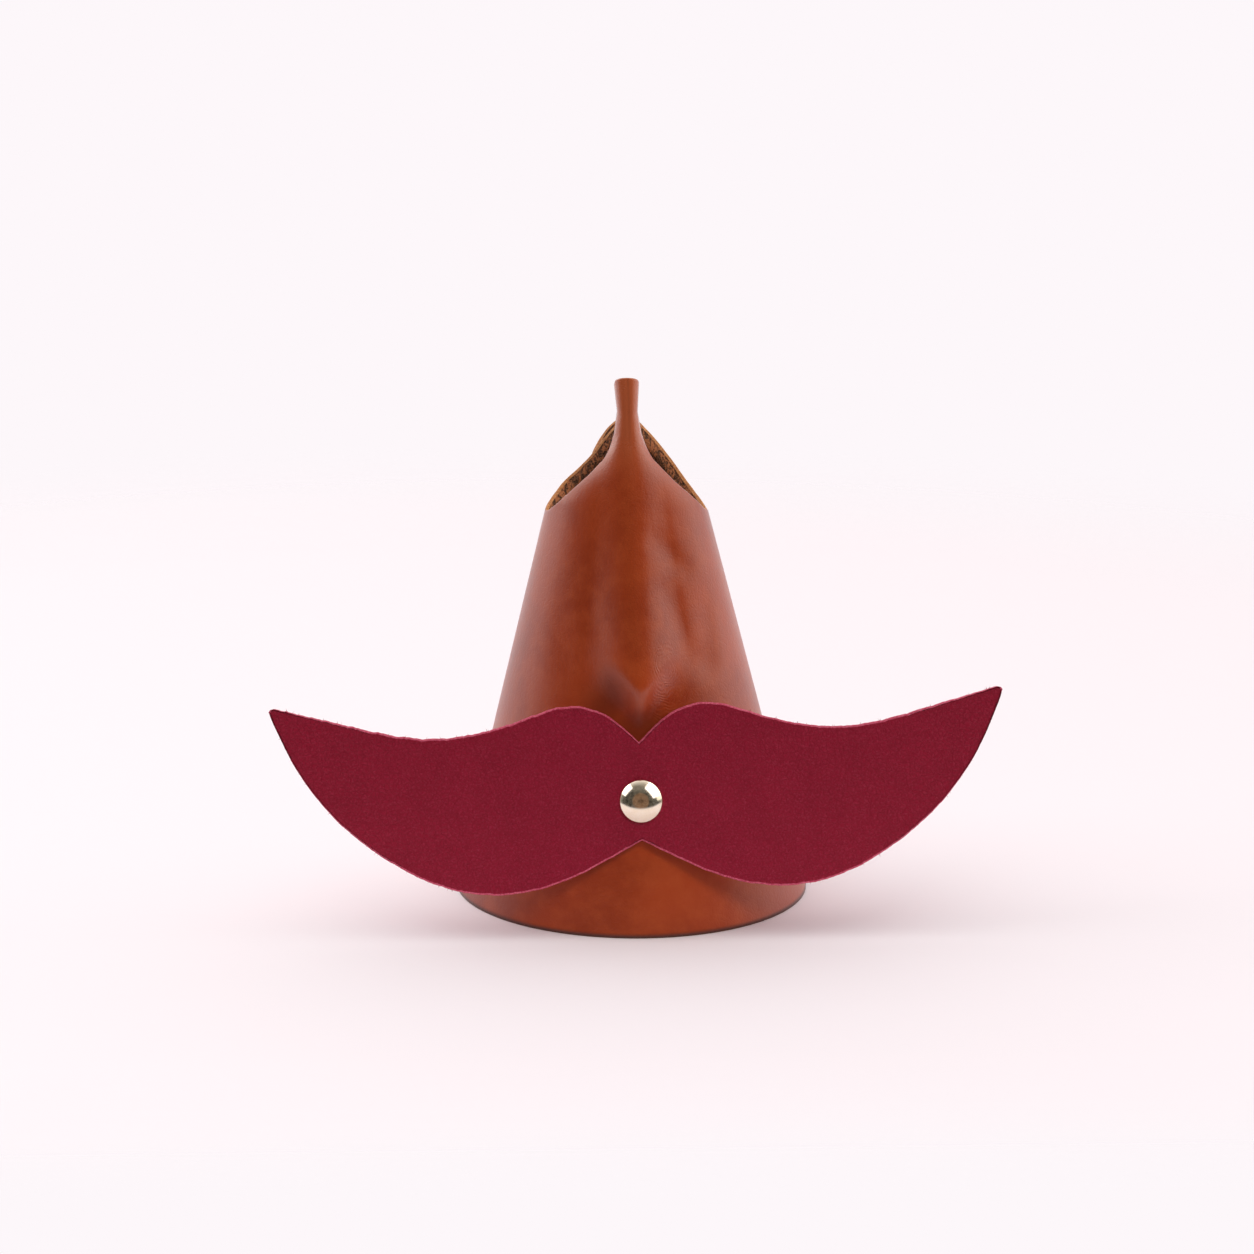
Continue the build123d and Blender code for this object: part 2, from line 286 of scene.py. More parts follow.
# %% Shader maths as Python expressions
class Field:
    """A value that changes over a surface, held as the socket that gives it."""

    def __init__(self, finish, socket):
        self.finish, self.socket = finish, socket

    def math(self, operation, *values):
        sockets = dict(enumerate(values))
        return self.finish.add("ShaderNodeMath", {"operation": operation}, sockets)

    def __add__(self, other): return self.math("ADD", self, other)
    def __radd__(self, other): return self.math("ADD", other, self)
    def __sub__(self, other): return self.math("SUBTRACT", self, other)
    def __rsub__(self, other): return self.math("SUBTRACT", other, self)
    def __mul__(self, other): return self.math("MULTIPLY", self, other)
    def __rmul__(self, other): return self.math("MULTIPLY", other, self)
    def __truediv__(self, other): return self.math("DIVIDE", self, other)
    def __pow__(self, other): return self.math("POWER", self, other)
    def sine(self): return self.math("SINE", self)
    def exponential(self): return self.math("EXPONENT", self)
    def larger(self, other): return self.math("MAXIMUM", self, other)

    def step(self, low, high):
        """0 at low, 1 at high, smooth between them."""
        sockets = {"Value": self, "From Min": low, "From Max": high}
        return self.finish.add("ShaderNodeMapRange", {"interpolation_type": "SMOOTHSTEP"}, sockets)


class Nodes:
    """Places nodes in a tree: settings are set first, then the values or links of the sockets."""

    def __init__(self, tree):
        self.tree = tree

    def add(self, kind, settings=None, sockets=None, output=0):
        node = self.tree.nodes.new(kind)
        for name, value in (settings or {}).items():
            if name == "stops":
                for extra in value[2:]:
                    node.color_ramp.elements.new(extra[0])
                for element, (place, colour) in zip(node.color_ramp.elements, value):
                    element.position, element.color = place, (*colour, 1)
            else:
                setattr(node, name, value)
        for name, value in (sockets or {}).items():
            if isinstance(value, Field):
                self.tree.links.new(value.socket, node.inputs[name])
            else:
                node.inputs[name].default_value = value
        return Field(self, node.outputs[output])

    def mix(self, share, first, second):
        """Colour between two colours, each a Field or three numbers."""
        first, second = (c if isinstance(c, Field) else (*c, 1) for c in (first, second))
        sockets = {0: share, 6: first, 7: second}
        return self.add("ShaderNodeMix", {"data_type": "RGBA"}, sockets, output=2)

    def axes(self, vector):
        """The three parts of a vector."""
        split = self.add("ShaderNodeSeparateXYZ", None, {0: vector})
        node = split.socket.node
        return [Field(self, node.outputs[k]) for k in range(3)]


class Finish(Nodes):
    """A material under construction, with the place on the piece in millimetres."""

    def __init__(self, name, **constants):
        self.material = bpy.data.materials.new(name)
        self.material.use_nodes = True
        super().__init__(self.material.node_tree)
        self.shader = self.tree.nodes["Principled BSDF"]
        for socket, value in constants.items():
            self.shader.inputs[socket.replace("_", " ")].default_value = value
        place = self.add("ShaderNodeTexCoord", output="Object")
        self.place = self.scaled(place, (1000, 1000, 1000))

    def scaled(self, vector, factors):
        return self.add("ShaderNodeVectorMath", {"operation": "MULTIPLY"}, {0: vector, 1: factors})

    def noise(self, size, detail=3.0, roughness=0.55, distortion=0.0, stretch=None):
        """Noise around 0.5 whose blotches are about size mm across."""
        place = self.scaled(self.place, stretch) if stretch else self.place
        sockets = {"Vector": place, "Scale": 1 / size, "Detail": detail,
                   "Roughness": roughness, "Distortion": distortion}
        return self.add("ShaderNodeTexNoise", None, sockets)

    def cells(self, size, feature="F1", place=None):
        """Distance pattern of cells about size mm across, at the place or at a warped one."""
        sockets = {"Vector": place or self.place, "Scale": 1 / size}
        return self.add("ShaderNodeTexVoronoi", {"feature": feature}, sockets)

    def warp(self, amount, size):
        """The place, pushed about by noise so that cells lose their straight sides."""
        sockets = {"Vector": self.place, "Scale": 1 / size, "Detail": 1.0}
        push = self.add("ShaderNodeTexNoise", None, sockets, output="Color")
        push = self.scaled(push, (amount, amount, amount))
        return self.add("ShaderNodeVectorMath", {"operation": "ADD"}, {0: self.place, 1: push})

    def bump(self, height, depth, strength=1.0, under=None):
        """Normal bent by a height of 0 to 1 that stands for depth mm."""
        sockets = {"Height": height, "Distance": depth * MM, "Strength": strength}
        if under:
            sockets["Normal"] = under
        return self.add("ShaderNodeBump", None, sockets)

    def wear(self, **fields):
        """Links fields to the shader's sockets."""
        for name, field in fields.items():
            self.tree.links.new(field.socket, self.shader.inputs[name.replace("_", " ")])
        return self


# %% [markdown]
# ## Tan leather: the grain side
# Vegetable-tanned leather has a smooth, waxed grain side whose dye is uneven, with fine pores and
# hairlines.  Where it was pressed into the nose, the grain is bunched into fine wrinkles, the folds
# are dry, and painted shade darkens them.  One finish does all of it, because real leather has no
# border between them: each feature is a mask on the place, and the reliefs are stacked bump on
# bump.

# %% Grain side of the tan leather
TAN_DEEP = (0.30, 0.034, 0.005)
TAN_WARM = (0.40, 0.052, 0.008)
TAN_LIGHT = (0.46, 0.075, 0.015)
TAN_PAINTED_SHADE = (0.13, 0.016, 0.004)
TAN_PAINTED_CONTACT_SHADOW = (0.05, 0.012, 0.006)
TAN_STEM = (0.50, 0.115, 0.042)
FRONT = (-24, -20)                    # a spot with y below -24 lies on the front
RIPPLE_LENGTH = 0.5


def circle(x, y):
    """Distance from the middle, of two Fields that are places from it."""
    return (x * x + y * y) ** 0.5


def tan_grain():
    """Colour: two clouded tones of dye with paler mottling, painted shade in the folds beside and
    under the nose, a painted contact shadow along the bottom edge, paler up the stem.  Relief, from
    coarse
    to fine: hills, rings of wrinkles on the right of the nose, hairline creases, the stem's fold,
    pores."""
    finish = Finish("tan_grain", IOR=1.5, Coat_Roughness=0.22)
    x, y, z = finish.axes(finish.place)
    clouds = finish.noise(22, 2.0)
    mottle = finish.noise(3.2, 4.0, 0.6)
    pores = finish.cells(0.42)
    creases = finish.cells(1.1, "DISTANCE_TO_EDGE", finish.warp(0.35, 1.6))
    fine = finish.noise(0.3, 2.0)
    tone = finish.mix(clouds.step(0.35, 0.68), TAN_DEEP, TAN_WARM)
    tone = finish.mix(mottle.step(0.35, 0.75) * 0.45, tone, TAN_LIGHT)
    # painted shade: beside (low on the nose's left) and under (below the nose tip) darken the tone
    # where shade falls; the same mask makes these folds dry and dull
    beside = 1 - circle(x + 7.2, (z - 43.5) * 0.9).step(1.0, 7.5)
    under = 1 - circle(x * 0.6 ** 0.5, z - 37.0).step(0.8, 6.5)
    dry_fold_and_painted_shade = beside.larger(under * 0.8) * (1 - y.step(*FRONT))
    tone = finish.mix(dry_fold_and_painted_shade * 0.8, tone, TAN_PAINTED_SHADE)
    # paler up the stem, from 80 mm upwards
    tone = finish.mix(z.step(80.0, 92.0) * 0.8, tone, TAN_STEM)
    # painted contact shadow: the lowest millimetre of the cone is darkened
    tone = finish.mix((1 - z.step(0.2, 1.1)) * 0.95, tone, TAN_PAINTED_CONTACT_SHADOW)
    ring = circle(x - 5.0, (z - 49.5) * 0.7) + finish.noise(2.6, 1.0) * 1.6
    ripple = (ring * (2 * pi / RIPPLE_LENGTH)).sine() * 0.5 + 0.5
    where = ring.step(1.5, 3.0) * (1 - ring.step(8.5, 12.5))
    where = where * finish.noise(3.0, 1.0).step(0.25, 0.5)
    where = where * x.step(1.5, 4.0) * (1 - y.step(*FRONT))
    low = finish.noise(1.1, 2.0, stretch=(1, 1, 0.35))
    hills = finish.bump(low, 0.05, 0.5)
    wrinkles = finish.bump(ripple * where, 0.06, 1.0, hills)
    skin = finish.bump(creases.step(0.0, 0.12), 0.02, 0.5, wrinkles)
    from_fold = (x + z * SIDEWAYS_LEAN + 0.1) / 0.4
    fold = 1 - (from_fold * from_fold * -1).exponential() * z.step(86.0, 92.0)
    folded = finish.bump(fold, 0.16, 1.0, skin)
    surface = finish.bump(pores * 0.6 + fine, 0.04, 0.6, folded)
    rough = 0.28 + mottle * 0.12 + fine * 0.06 - z.step(82.0, 90.0) * 0.12 + dry_fold_and_painted_shade * 0.35
    wax = 0.25 - 0.25 * dry_fold_and_painted_shade
    return finish.wear(Base_Color=tone, Roughness=rough, Coat_Weight=wax, Normal=surface)


tan_side = tan_grain()
print("finish", tan_side.material.name, len(tan_side.tree.nodes), "nodes")


# %% [markdown]
# ## Flesh side and cut edge
# The flesh side is unsealed fibre.  Dye soaks into it in blots and streaks, so a distorted noise
# with a steep step decides between near black and bare tan.  A cut edge is only loose fibres of
# two tones; the same recipe serves the tan and the burgundy leather.

# %% Flesh side and cut edge of the tan leather
FLESH_DARK = (0.014, 0.007, 0.005)
FLESH_TAN = (0.50, 0.17, 0.07)
FLESH_PALE = (0.66, 0.30, 0.16)
TAN_EDGE_DARK, TAN_EDGE_LIGHT = (0.42, 0.15, 0.05), (0.72, 0.33, 0.13)


def tan_flesh():
    """Dark and tan blots, longer upwards than across, with paler fibres over them."""
    finish = Finish("tan_flesh", IOR=1.45)
    slanted = finish.scaled(finish.place, (1.0, 1.0, 0.45))
    blots = finish.add("ShaderNodeTexNoise", None, {"Vector": slanted, "Scale": 1.5, "Detail": 4.0,
                                                    "Roughness": 0.7, "Distortion": 0.8})
    fibres = finish.noise(0.25, 3.0, 0.6)
    shade = finish.mix(blots.step(0.47, 0.55), FLESH_DARK, FLESH_TAN)
    shade = finish.mix(fibres.step(0.3, 0.8) * 0.5, shade, FLESH_PALE)
    nap = finish.bump(blots * 0.6 + fibres, 0.22, 0.9)
    return finish.wear(Base_Color=shade, Roughness=0.75 + fibres * 0.2, Normal=nap)


def cut_edge(name, dark, light, roughness):
    """Loose fibres between two tones."""
    finish = Finish(name, IOR=1.45)
    fibres = finish.noise(0.35, 4.0, 0.65)
    shade = finish.mix(fibres.step(0.3, 0.7), dark, light)
    nap = finish.bump(fibres, 0.12, 0.8)
    return finish.wear(Base_Color=shade, Roughness=roughness + fibres * 0.15, Normal=nap)


tan_back = tan_flesh()
tan_edge = cut_edge("tan_cut_edge", TAN_EDGE_DARK, TAN_EDGE_LIGHT, 0.6)
print("finishes", tan_back.material.name, tan_edge.material.name)


# %% [markdown]
# ## The cone, its nose and its stem
# The pattern's lines across run round the cone from the inner lap end to the outer one, and its
# lines up end on the cut top edge, which falls from the stem to two notches at the sides and rises
# again to a rounded peak at the rear.  A tongue above the middle of the front becomes the stem.

# %% The cone's pattern
LAP = 6.0
TONGUE_FOOT = 84.5
PEAK_ROUND = 2.33


def wrap_length(height):
    """Half of the sheet's length round the cone at a height, on its outer face."""
    radius = cone_radius(height)
    return pi * radius + radius * np.arcsin(LAP / radius)


def cut_height(column):
    """Height of the top edge over a column: where the column meets the slanted edge, found by
    halving.  The rear edge is a hyperbola, so that its peak is round."""
    low, high = np.full_like(column, 60.0), np.full_like(column, 92.0)
    for _ in range(40):
        middle = (low + high) / 2
        turn = column * wrap_length(middle) / cone_radius(middle)
        aside = cone_radius(middle) * np.sin(turn)
        fall = (ROOF - NOTCH_HEIGHT) / (NOTCH_RADIUS - PEAK_ASIDE * np.sign(aside - PEAK_ASIDE))
        rear = ROOF - fall * np.sqrt((aside - PEAK_ASIDE) ** 2 + PEAK_ROUND ** 2)
        rear += 0.6 * (1 - smooth(6, 13, np.abs(aside)))
        roof = np.where(np.abs(turn) < pi / 2, ROOF - EDGE_SLOPE * np.abs(aside), rear)
        low, high = np.where(roof > middle, middle, low), np.where(roof > middle, high, middle)
    return low


tongue_share = 6.27 / wrap_length(TONGUE_FOOT)
half = np.concatenate([np.linspace(0, tongue_share, 21)[:-1],
                       np.linspace(tongue_share, 0.25, 17)[:-1], np.linspace(0.25, 1, 85)])
columns = np.concatenate([-half[:0:-1], half])
first, last = len(half) - 21, len(half) + 19
height = cut_height(columns)
height[first:last + 1] = TONGUE_FOOT
from_end = (1 + columns) * wrap_length(height)
height -= 8 * np.clip(1 - from_end / 3.4, 0, 1) ** 2
from_end = (1 - columns) * wrap_length(height)
height -= 1.6 * np.clip(1 - from_end / 3.0, 0, 1) ** 2
height += 0.12 * wobble(columns * 45, 3, 5, 2.0, 14.0) * smooth(tongue_share, 0.2, np.abs(columns))
up = np.linspace(0, 1, 113)[:, None] * height
cone_pattern = Pattern(columns * wrap_length(up) / cone_radius(up), up)
tongue_up = np.linspace(TONGUE_FOOT, STAND_TOP + 0.4, 41)[1:, None]
tongue_half = 4.8 + 1.47 * np.exp(-0.65 * (tongue_up - TONGUE_FOOT))
tongue_half += between([(84.5, 0), (90, 0), (94, -0.5), (99.5, 0.2)], tongue_up)
spread = np.linspace(-1, 1, last - first + 1)
tongue_drop = 1.9 * spread ** 2 * smooth(94, STAND_TOP, tongue_up)
tongue_across = spread * tongue_half / cone_radius(tongue_up)
cone_pattern.grow(first, last, tongue_across, tongue_up - tongue_drop)
HOLE = 1.55
SEAM_HEIGHTS = (12.0, 40.0, 68.0)
for seam, turn in [(PIVOT_HEIGHT, 0), *((h, side * pi) for h in SEAM_HEIGHTS for side in (-1, 1))]:
    cone_pattern.punch((turn, seam), HOLE, 2.6, (cone_radius(seam), 1 / cos(TILT)))
print("cone pattern:", len(cone_pattern.flat), "points,", len(cone_pattern.loops()) - 1, "holes")


# %% [markdown]
# ## The nose and the rolled stem
# Wet leather is pressed over a form, so the nose is a smooth bulge with shallow creases where the
# leather had to go somewhere.  Pushing the wrapped pattern forward by a formula keeps the holes,
# the lap and the cut edge as they are, which sculpting a finished wall wouldn't.

# %% The wrapped grain side
NOSE_OUT = 5.6
NOSE_HALF_WIDTH, NOSE_NARROWS = 12.0, 6.5
FOOT_RISE, FOOT_REACH = 8.2, 4.9
CREASE_WIDTH = 1.9
SKIVED = 0.8                          # thickness of the wall at its cut top edge
ROOT = ROOF - EDGE_SLOPE * 2.65
NOSE_FOOT = PIVOT_HEIGHT + (V_APEX + 1.15) * cos(TILT)
NOSE_TIP = NOSE_FOOT + 5.0
CREASES = [((3.0, 71.0), (8.6, 65.0), 0.32), ((4.5, 62.0), (10.5, 49.0), 0.26),
           ((-9.5, 59.0), (-7.2, 53.5), 0.15)]


def nose_push(x, aside, height):
    """How far the nose stands out.  Across, (1 - s^2)^2 of the share s of its half width; upwards
    it shrinks evenly to the stem; below, a smooth step rounds it under, above a foot line that
    rises from the middle as 1 - exp(-(x / reach)^1.2), rounded at x = 0, and clears the moustache
    as it swings."""
    high = np.clip((height - NOSE_TIP) / (ROOT - NOSE_TIP), 0, 1)
    off = np.sqrt((x + lean(height)) ** 2 + 2.0)
    foot = NOSE_FOOT + FOOT_RISE * cos(TILT) * (1 - np.exp(-(off / FOOT_REACH) ** 1.2))
    under = smooth(-0.9, 9.0, height - foot)
    half_width = NOSE_HALF_WIDTH - NOSE_NARROWS * high ** 0.7
    share = np.clip(np.abs(x - aside) / half_width, 0, 1)
    return NOSE_OUT * (1 - high) * under * (1 - share ** 2) ** 2


def hollow(x, height, start, end, depth):
    """A shallow crease: depth x exp(-(d / width)^2) of the distance d from a straight line."""
    start, along = np.array(start), np.subtract(end, start)
    place = np.stack([x, height], -1) - start
    share = np.clip(place @ along / (along @ along), 0, 1)
    distance = np.linalg.norm(place - share[..., None] * along, axis=-1)
    return depth * np.exp(-(distance / CREASE_WIDTH) ** 2)


def rolled_section(across, height, nodes=32):
    """Place on a level cut, from the bridge outwards.  The cut's direction turns with the length
    from the bridge: evenly on the cone, and near the stem as F q / (F^4 + q^4)^(1/4), which turns
    fast by a quarter turn and then runs straight back.  x and y are the sums of its cosine and
    sine along the cut, at the middles of equal steps."""
    tight = smooth(76, 90, height)[:, None]
    roll = between([(80, 6), (84.5, 3.9), (87, 2.9), (89.5, 2.2), (93.3, 1.66), (99.5, 2.1)],
                   height)
    shares = (np.arange(nodes) + 0.5) / nodes
    along = across[:, None] * shares
    q, full = along / roll[:, None], 1.02 * pi / 2
    turn = (1 - tight) * along / cone_radius(height)[:, None]
    turn += tight * full * q / (full ** 4 + q ** 4) ** 0.25
    return (across * np.cos(turn).mean(1), across * np.sin(turn).mean(1))


def grain_place(flat):
    """Places of the grain side: the wrap, the nose pushed forward from it, and the inner lap."""
    turn, height = flat.T
    radius = cone_radius(height)
    past = np.clip((15.0 - (pi + turn) * radius) / 8.0, 0, 1)
    inset = (LEATHER / cos(TILT) + 0.15) * smooth(0, 1, past)
    x, y = (radius - inset) * np.sin(turn), -(radius - inset) * np.cos(turn)
    rolled = (np.abs(turn) < pi / 2) & (height > 76)
    ridge = -cone_radius(np.minimum(height, ROOT)) + 0.27 * np.maximum(height - ROOT, 0)
    rolled_x, rolled_y = rolled_section((turn * radius)[rolled], height[rolled])
    x[rolled], y[rolled] = rolled_x, ridge[rolled] + rolled_y
    aside = -lean(NOSE_FOOT) * (1 - np.clip((height - NOSE_FOOT) / (ROOT - NOSE_FOOT), 0, 1))
    front = np.abs(turn) < pi / 2
    y -= front * nose_push(x, aside, height)
    beside = np.exp(-((np.abs(x - aside) - 13.5) / 2.4) ** 2) * (0.45 + 0.25 * np.sign(x))
    y += front * beside * smooth(43, 48, height) * (1 - smooth(54, 66, height))
    for start, end, depth in CREASES:
        y += front * hollow(x + lean(height), height, start, end, depth)
    return np.stack([x + lean(height), y, height], 1)


def cap_plane(height, side, depth):
    """A point and outward direction of a plane under a rivet's cap, depth mm inside the cone.
    The rear rivets follow the leaning seam, the front one is on the moustache's pivot."""
    outward = np.array([0, side * cos(TILT), sin(TILT)])
    aside = lean(height) if side > 0 else 0.0
    return np.array([aside, side * cone_radius(height), height]) - outward * depth, outward


def press(points, plane, only, radius=4.05, soft=1.3):
    """Presses the leather flat to a cap's plane within a radius, fading out over soft mm."""
    origin, outward = plane
    off = (points - origin) @ outward
    aside = np.linalg.norm(points - origin - off[:, None] * outward, axis=1)
    amount = np.where(only, off * (1 - smooth(radius, radius + soft, aside)), 0)
    return points - amount[:, None] * outward


FRONT_GRIP = 0.05 + LEATHER + 0.25 + LEATHER - 0.3
SEAM_GRIP = 2 * LEATHER + 0.15 * cos(TILT) - 0.6
cone_grain = grain_place(cone_pattern.flat)
cone_out = corner_normals(cone_grain, cone_pattern.quads())
wall = between([(0, LEATHER), (80, LEATHER), (90, 1.3), (100, 1.2)], cone_pattern.flat[:, 1])
behind = np.abs(cone_pattern.flat[:, 0]) > pi / 2
wall = np.where(behind, LEATHER, wall)
turn, level = cone_pattern.flat.T
below_edge = cut_height(turn * cone_radius(level) / wrap_length(level)) - level
wall = np.minimum(wall, SKIVED + 0.6 * np.clip(below_edge, 0, 3))
cone_flesh = cone_grain - cone_out * wall[:, None]
is_outer_lap = cone_pattern.flat[:, 0] > 0
for seam in SEAM_HEIGHTS:
    near = behind & (np.abs(cone_pattern.flat[:, 1] - seam) < 8)
    cone_grain = press(cone_grain, cap_plane(seam, 1, 0.3), near & is_outer_lap)
    cone_flesh = press(cone_flesh, cap_plane(seam, 1, 0.3 + SEAM_GRIP), near & ~is_outer_lap)
near = ~behind & (np.abs(cone_pattern.flat[:, 1] - PIVOT_HEIGHT) < 8)
cone_flesh = press(cone_flesh, cap_plane(PIVOT_HEIGHT, -1, LEATHER - 0.3), near)
leather_nose = leather_wall("leather_nose", cone_pattern, cone_grain, cone_flesh, 0.25,
                            [tan_side, tan_back, tan_edge])
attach(leather_nose, "stand")
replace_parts(leather_nose, "nose_cone")


# %% [markdown]
# ## Burgundy leather
# The moustache is dyed, matte leather.  Its cut edge shows the pink core of the hide and is a
# little ragged.  Only the grain side needs its own finish: the flesh side and the edge are the
# cut-edge recipe in other tones.

# %% Finishes of the moustache
BURGUNDY_DEEP = (0.26, 0.005, 0.025)
BURGUNDY = (0.31, 0.0065, 0.031)
BURGUNDY_PALE = (0.48, 0.045, 0.095)
BURGUNDY_PAINTED_CREASE_SHADE = (0.14, 0.004, 0.014)


def burgundy_grain():
    """Cloudy dye with pale specks, and painted shade darkening its fine creases."""
    finish = Finish("burgundy_grain", IOR=1.36)
    clouds = finish.noise(7, 4.0, 0.7)
    grain = finish.noise(0.35, 3.0, 0.7)
    creases = finish.cells(0.8, "DISTANCE_TO_EDGE", finish.warp(0.8, 1.0))
    tone = finish.mix(clouds.step(0.2, 0.8) * 0.8, BURGUNDY_DEEP, BURGUNDY)
    tone = finish.mix(grain.step(0.45, 0.75) * 0.45, tone, BURGUNDY_PALE)
    # painted shade in the fine creases of the grain
    tone = finish.mix((1 - creases.step(0.0, 0.12)) * 0.3, tone, BURGUNDY_PAINTED_CREASE_SHADE)
    skin = finish.bump(creases.step(0.0, 0.2), 0.07, 0.8)
    surface = finish.bump(grain, 0.1, 0.8, skin)
    return finish.wear(Base_Color=tone, Roughness=0.5 + grain * 0.2, Normal=surface)


burgundy_side = burgundy_grain()
burgundy_back = cut_edge("burgundy_flesh", (0.3, 0.03, 0.06), (0.45, 0.09, 0.13), 0.75)
burgundy_edge = cut_edge("burgundy_cut_edge", (0.48, 0.035, 0.085), (0.74, 0.15, 0.24), 0.8)
for finish in (burgundy_side, burgundy_back, burgundy_edge):
    print("finish", finish.material.name)


# %% [markdown]
# ## The moustache
# Its outline is four smooth curves, the right half and its mirror image.  Straight lines from the
# top edge to the bottom edge fill it with a grid, which is punched for the rivet and laid on a
# plane that touches the cone under the nose, turned a little as it hangs.

# %% The moustache's outline
def smooth_curve(points, start, end, count=400):
    """Cubic spline through points, by the distance between them, with given end directions."""
    points = np.array(points, float)
    steps = np.linalg.norm(np.diff(points, axis=0), axis=1)
    place = np.concatenate([[0], np.cumsum(steps)])
    system, right = np.zeros((len(points),) * 2), np.zeros_like(points)
    system[0, 0] = system[-1, -1] = 1
    right[0] = np.array(start) / np.linalg.norm(start)
    right[-1] = np.array(end) / np.linalg.norm(end)
    rise = np.diff(points, axis=0) / steps[:, None]
    for k in range(1, len(points) - 1):
        before, after = steps[k - 1], steps[k]
        system[k, k - 1:k + 2] = after, 2 * (before + after), before
        right[k] = 3 * (after * rise[k - 1] + before * rise[k])
    slopes = np.linalg.solve(system, right)
    where = np.linspace(0, place[-1], count)
    k = np.clip(np.searchsorted(place, where, side="right") - 1, 0, len(steps) - 1)
    step = steps[k][:, None]
    t = (where - place[k])[:, None] / step
    first = (1 + 2 * t) * (1 - t) ** 2 * points[k] + t * (1 - t) ** 2 * step * slopes[k]
    return first + t * t * (3 - 2 * t) * points[k + 1] - t * t * (1 - t) * step * slopes[k + 1]


TOP_EDGE = [(0, V_APEX), (6.2, 16.1), (12.5, 17.75), (20.8, 15.7), (38.2, 12.6), (55.8, 16.2),
            (67.0, 19.2)]
BOTTOM_EDGE = [(67.3, 18), (63, 8.6), (54.3, -3), (45.3, -10.1), (36.6, -14.5), (27, -16.3),
               (14, -14), (0, V_FOOT)]
HALF_WIDTH = TOP_EDGE[-1][0]
top_line = smooth_curve(TOP_EDGE, (1, 1), (1, 0.3))
bottom_line = smooth_curve(BOTTOM_EDGE, (-0.4, -0.9), (-1, 0.5))[::-1]
share = np.linspace(0, 1, 201)
share = share + 0.18 * (1 - (1 - share) ** 3 - share)
share = np.concatenate([-share[:0:-1], share])
reach = np.abs(share)
top_x, bottom_x = HALF_WIDTH * share, BOTTOM_EDGE[0][0] * share
top_y = np.interp(np.abs(top_x), top_line[:, 0], top_line[:, 1])
bottom_y = np.interp(np.abs(bottom_x), bottom_line[:, 0], bottom_line[:, 1])
rough_left = 1 + 0.6 * (1 - smooth(-20, 5, top_x))
ragged = smooth(0, 2.0, np.abs(top_x)) * (1 - smooth(64.5, 66.5, np.abs(top_x)))
top_y = top_y + 0.07 * rough_left * ragged * wobble(top_x, 11, 7, 0.5, 6.0)
bottom_y = bottom_y + 0.07 * ragged * wobble(bottom_x, 12, 7, 0.5, 7.0)
tip = np.clip((1 - reach) * HALF_WIDTH / 0.9, 0, 1)
closing = np.maximum(np.sqrt(1 - (1 - tip) ** 2), 0.35)
middle_y, half_y = (top_y + bottom_y) / 2, (top_y - bottom_y) / 2 * closing
rise = np.linspace(0, 1, 61)[:, None]
grid_x = bottom_x + (top_x - bottom_x) * rise
grid_y = middle_y - half_y + 2 * half_y * rise
moustache_pattern = Pattern(grid_x, grid_y)
moustache_pattern.punch((0, 0), HOLE, 2.6)
print("moustache", round(np.ptp(grid_x), 1), "by", round(np.ptp(grid_y), 1), "mm")


# %% [markdown]
# ## Hanging the moustache
# The real piece is stiff and flat, held by one rivet.  So its pattern is only turned, carried onto
# a plane square to the pivot, and given its thickness; nothing is bent.

# %% The moustache laid on its plane
STANDOFF = 0.25
MOUSTACHE_TILT = radians(1.6)
plane_origin, plane_out = cap_plane(PIVOT_HEIGHT, -1, -STANDOFF)
plane_right, plane_up = np.array([1.0, 0, 0]), np.array([0, sin(TILT), cos(TILT)])


def on_plane(flat, lift):
    """Flat places turned by the tilt, then carried along the plane's two directions and lifted."""
    x = flat[:, 0] * cos(MOUSTACHE_TILT) - flat[:, 1] * sin(MOUSTACHE_TILT)
    y = flat[:, 0] * sin(MOUSTACHE_TILT) + flat[:, 1] * cos(MOUSTACHE_TILT)
    lift = np.broadcast_to(lift, x.shape)
    level = plane_origin + np.outer(x, plane_right) + np.outer(y, plane_up)
    return level + np.outer(lift, plane_out)


moustache = leather_wall("leather_moustache", moustache_pattern,
                         on_plane(moustache_pattern.flat, LEATHER),
                         on_plane(moustache_pattern.flat, 0.0), 0.34,
                         [burgundy_side, burgundy_back, burgundy_edge], rim=2)
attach(moustache, "moustache")
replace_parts(moustache, "moustache")


# %% [markdown]
# ## Loose fibres on the moustache's edge
# A stamped edge keeps a few torn fibres.  Each is a tiny bent spike with three sides, and all of
# them are one mesh, placed with a seeded draw so that they are the same every time.

# %% Torn fibres
def torn_fibres(edge, count, seed, longest):
    """Spikes of three sides along an edge line: the foot in the leather, the tip outside it."""
    dice = np.random.default_rng(seed)
    at = dice.integers(4, len(edge) - 4, count)
    foot = edge[at]
    along = edge[at + 3] - edge[at - 3]
    along /= np.linalg.norm(along, axis=1, keepdims=True)
    out = np.stack([along[:, 1], -along[:, 0]], 1)
    lean = dice.uniform(-0.9, 0.9, count)[:, None]
    length = longest * dice.uniform(0.25, 1, (count, 1)) ** 2.2
    tip_flat = foot + length * (out + lean * along)
    foot = foot - 0.25 * out
    lift = dice.uniform(0.25, 1.75, count)
    low, high = on_plane(foot, lift), on_plane(tip_flat, lift + dice.uniform(-0.2, 0.2, count))
    side = np.outer(np.ones(count), plane_out)
    flat_side = on_plane(foot + along, lift) - low
    thick = dice.uniform(0.05, 0.12, (count, 1))
    thirds = np.arange(3) * 2 * pi / 3
    corners = [low + thick * (flat_side * cos(a) + side * sin(a)) for a in thirds]
    points = np.stack([*corners, high], 1).reshape(-1, 3)
    base = 4 * np.arange(count)[:, None]
    faces = np.concatenate([base + [0, 1, 3], base + [1, 2, 3], base + [2, 0, 3], base + [0, 2, 1]])
    return points, faces


